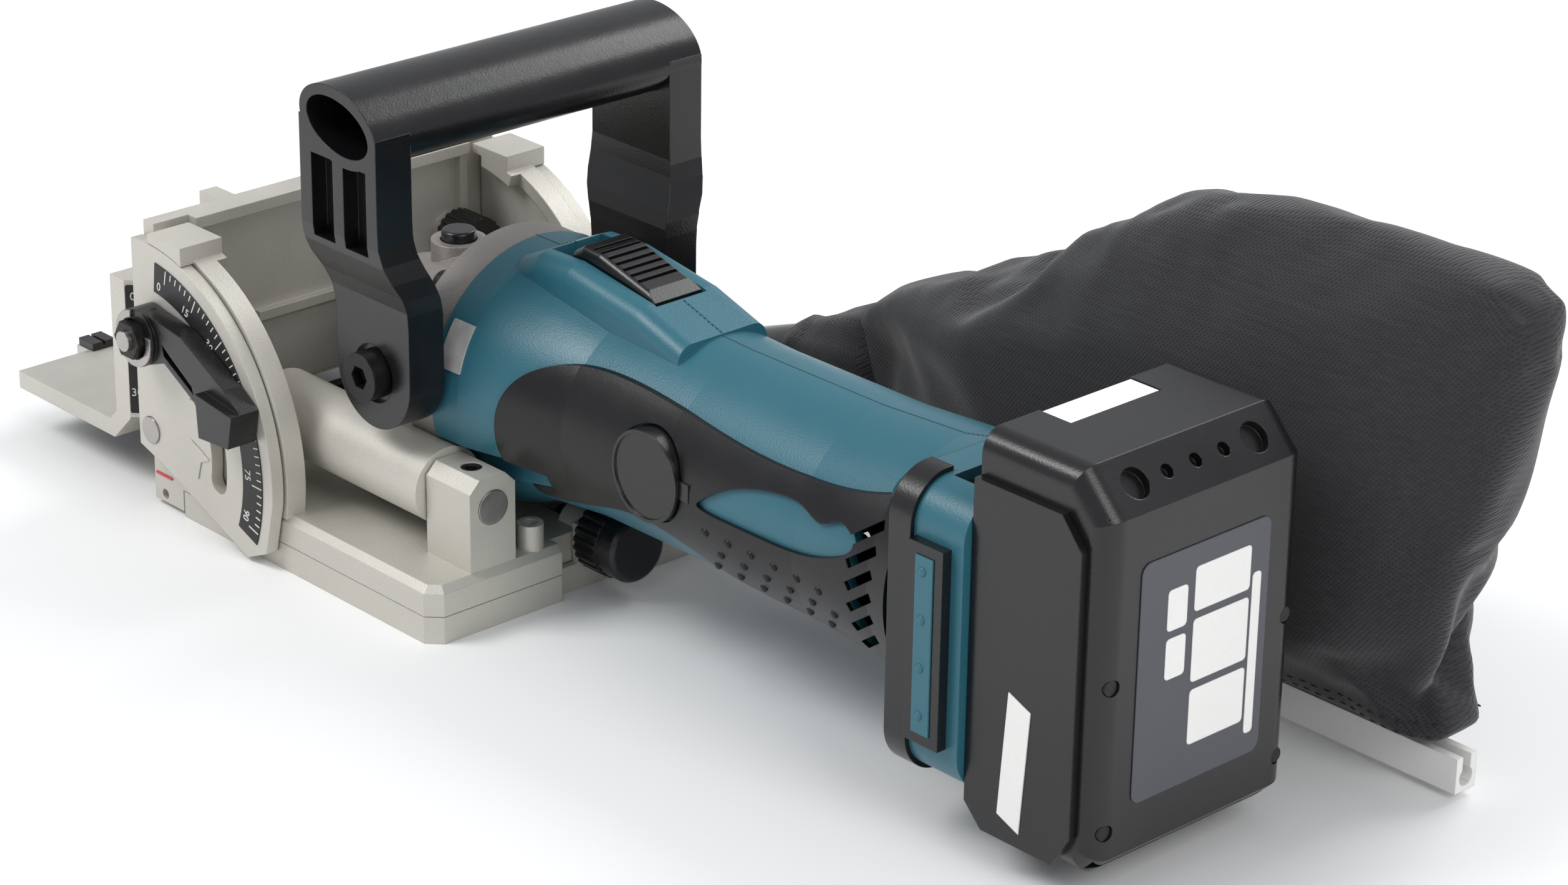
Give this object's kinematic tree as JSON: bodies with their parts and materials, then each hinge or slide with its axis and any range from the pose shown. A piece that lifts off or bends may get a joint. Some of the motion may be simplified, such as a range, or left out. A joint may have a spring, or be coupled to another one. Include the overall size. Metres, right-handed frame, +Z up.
{
  "type": "cordless biscuit joiner",
  "caption": "Handheld joiner with a slotting blade in a plunging base, tilting angle guide, sliding height fence, D handle, teal body, clip-on battery and side dust bag",
  "frame": {"origin": "on the sole, in the middle plane, under the blade's axis with the carriage at rest", "axes": "+X rearward towards the battery, +Y to the tool's right, +Z up, away from the sole"},
  "size_m": [0.46, 0.183, 0.151],
  "materials": {
    "bag_fabric": "matt",
    "bearing_bronze": "satin",
    "black_plastic": "matt",
    "black_rubber": "matt",
    "carbon": "matt",
    "cell_wrap": "gloss",
    "clear_plastic": "clear",
    "copper": "satin",
    "dark_steel": "satin",
    "fence_aluminium": "matt",
    "raw_casting": "as cast",
    "silver_paint": "painted satin",
    "steel": "satin",
    "teal_plastic": "satin",
    "white_plastic": "satin"
  },
  "bodies": {
    "base": {"base_casting": "silver_paint", "cover_hinge_pin": "steel", "dust_seal": "black_rubber", "guide_rods": "steel", "rod_set_screws": "dark_steel", "guide_pivots": "steel", "angle_clamp_stud": "steel"},
    "blade_cover": {"cover_plate": "silver_paint"},
    "clamp_knob": {"clamp_knob": "black_plastic"},
    "angle_guide": {"guide_casting": "silver_paint"},
    "angle_lever": {"angle_lever": "black_plastic", "angle_lever_nut": "dark_steel", "angle_lever_ring": "steel"},
    "height_fence": {"fence_casting": "fence_aluminium", "fence_pad": "black_rubber", "fence_markers": "black_plastic"},
    "height_dial": {"height_dial": "black_plastic"},
    "fence_lever": {"fence_lever": "black_plastic"},
    "carriage": {"gear_housing": "raw_casting", "carriage_sleeves": "silver_paint", "rod_bushes": "bearing_bronze", "return_springs": "steel", "handle_bolts": "dark_steel", "flange_screws": "dark_steel", "handle": "black_plastic", "motor_housing_left": "teal_plastic", "motor_housing_right": "teal_plastic", "housing_screws": "dark_steel", "side_panels": "black_rubber", "brush_caps": "black_plastic", "lamp_window": "clear_plastic", "tail_frame": "black_plastic", "bumper_inlays": "teal_plastic", "spindle_bearings": "steel", "motor_bearings": "steel", "motor_yoke": "dark_steel", "brush_holders": "bearing_bronze", "brushes": "carbon", "switch_unit": "black_plastic", "terminal_block": "black_plastic", "stop_screw": "steel"},
    "blade_shaft": {"blade": "steel", "lock_nut": "dark_steel", "spindle": "steel", "bevel_gear": "steel"},
    "armature": {"armature": "copper", "pinion_gear": "steel", "fan": "black_plastic"},
    "slide_switch": {"slide_switch": "black_plastic"},
    "lock_button": {"lock_button": "black_plastic"},
    "depth_turret": {"depth_turret": "black_plastic"},
    "battery": {"battery_case": "black_plastic", "battery_cells": "cell_wrap", "battery_panels": "black_plastic", "battery_screws": "dark_steel"},
    "release_button": {"release_button": "white_plastic"},
    "dust_bag": {"dust_nozzle": "black_plastic", "dust_bag": "bag_fabric"},
    "closing_rail": {"closing_rail": "white_plastic"}
  },
  "joints": [
    {"name": "plunge", "type": "slide", "parent": "base", "child": "carriage", "axis": [1, 0, 0], "range_m": [-0.022, 0], "stiffness_N_per_m": 500, "springref_m": 0.02, "deforming": ["return_springs"]},
    {"name": "blade_spin", "type": "hinge", "parent": "carriage", "child": "blade_shaft", "pos_m": [0, 0, 0.01], "axis": [0, 0, 1], "continuous": true},
    {"name": "motor_spin", "type": "hinge", "parent": "carriage", "child": "armature", "pos_m": [0.048, 0, 0.0585], "axis": [1, 0, 0], "continuous": true},
    {"name": "cover_hinge", "type": "hinge", "parent": "base", "child": "blade_cover", "pos_m": [-0.047, 0, 0.004], "axis": [0, 1, 0], "range_deg": [0, 90]},
    {"name": "knob_turn", "type": "hinge", "parent": "base", "child": "clamp_knob", "pos_m": [0.078, 0, 0.0155], "axis": [1, 0, 0], "continuous": true},
    {"name": "guide_tilt", "type": "hinge", "parent": "base", "child": "angle_guide", "pos_m": [-0.046, 0, 0.026], "axis": [0, -1, 0], "range_deg": [0, 45]},
    {"name": "angle_lever_turn", "type": "hinge", "parent": "base", "child": "angle_lever", "pos_m": [-0.04027, 0, 0.0585], "axis": [0, 1, 0], "range_deg": [-30, 40]},
    {"name": "fence_slide", "type": "slide", "parent": "angle_guide", "child": "height_fence", "axis": [0, 0, 1], "range_m": [0, 0.032]},
    {"name": "dial_turn", "type": "hinge", "parent": "angle_guide", "child": "height_dial", "pos_m": [-0.042, 0.045, 0.06], "axis": [1, 0, 0], "range_deg": [-1, 329]},
    {"name": "fence_lever_turn", "type": "hinge", "parent": "height_fence", "child": "fence_lever", "pos_m": [-0.067, 0, 0.052], "axis": [0, 1, 0], "range_deg": [-40, 30]},
    {"name": "switch_slide", "type": "slide", "parent": "carriage", "child": "slide_switch", "axis": [-1, 0, 0], "range_m": [0, 0.006]},
    {"name": "lock_press", "type": "slide", "parent": "carriage", "child": "lock_button", "axis": [0, 0, -1], "range_m": [0, 0.0025], "stiffness_N_per_m": 600, "springref_m": -0.002},
    {"name": "turret_turn", "type": "hinge", "parent": "base", "child": "depth_turret", "pos_m": [0.063, 0.049, 0.056], "axis": [1, 0, 0], "range_deg": [0, 300]},
    {"name": "battery_slide", "type": "slide", "parent": "carriage", "child": "battery", "axis": [0, 0, 1], "range_m": [0, 0.075]},
    {"name": "release_press", "type": "slide", "parent": "battery", "child": "release_button", "axis": [0, 0, -1], "range_m": [0, 0.0025], "stiffness_N_per_m": 600, "springref_m": -0.002},
    {"name": "nozzle_swivel", "type": "hinge", "parent": "base", "child": "dust_bag", "pos_m": [0.036, 0, 0.028], "axis": [0, 1, 0], "range_deg": [-60, 0]},
    {"name": "rail_slide", "type": "slide", "parent": "dust_bag", "child": "closing_rail", "axis": [1, 0, 0], "range_m": [0, 0.18]}
  ],
  "couplings": [
    {"joint": "motor_spin", "follows": "blade_spin", "ratio": 3.0833},
    {"joint": "dial_turn", "follows": "fence_slide", "rad_per_m": 178.57}
  ]
}
